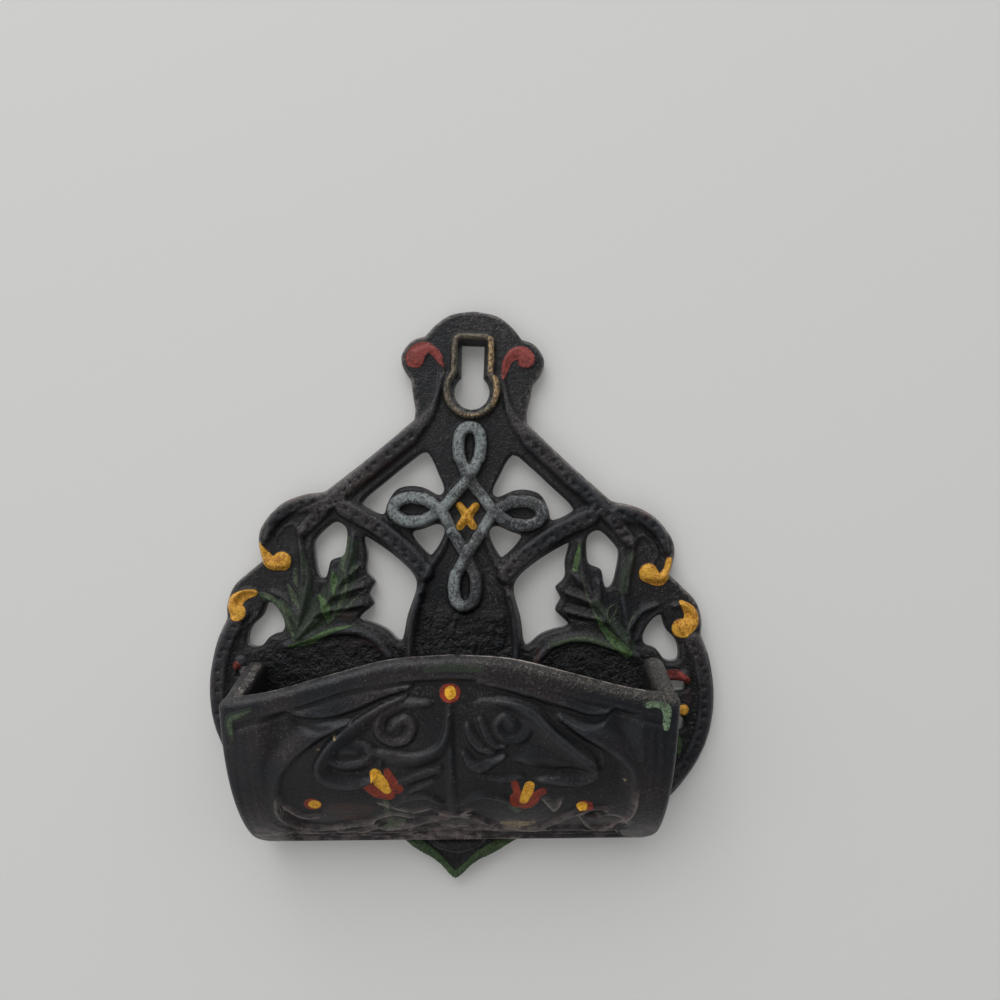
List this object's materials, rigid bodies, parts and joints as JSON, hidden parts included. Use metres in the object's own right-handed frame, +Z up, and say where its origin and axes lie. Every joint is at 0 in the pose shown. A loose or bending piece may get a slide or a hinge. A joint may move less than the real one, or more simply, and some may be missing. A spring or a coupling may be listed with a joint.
{
  "type": "wall match holder",
  "caption": "Cast iron wall match holder: pierced scrollwork back plate with a keyhole hanger and a riveted open-topped pocket with an arched rim and carved front.",
  "frame": {"origin": "centre of the round hanging hole, on the plate's flat back face", "axes": "+Z up, +Y into the wall along the hanging hole, the front looks along -Y"},
  "size_m": [0.113, 0.022, 0.127],
  "materials": {
    "plate_enamel": "worn black enamel over cast iron, with hand-painted curls, knot, leaves and dots",
    "pocket_enamel": "worn black enamel over carved cast iron, with small painted flowers and a bare sandy rim",
    "rivet_iron": "dark iron, hammered flush at the back"
  },
  "bodies": {
    "root": {"back_plate": "plate_enamel", "pocket": "pocket_enamel", "left_rivet": "rivet_iron", "right_rivet": "rivet_iron"}
  },
  "joints": []
}
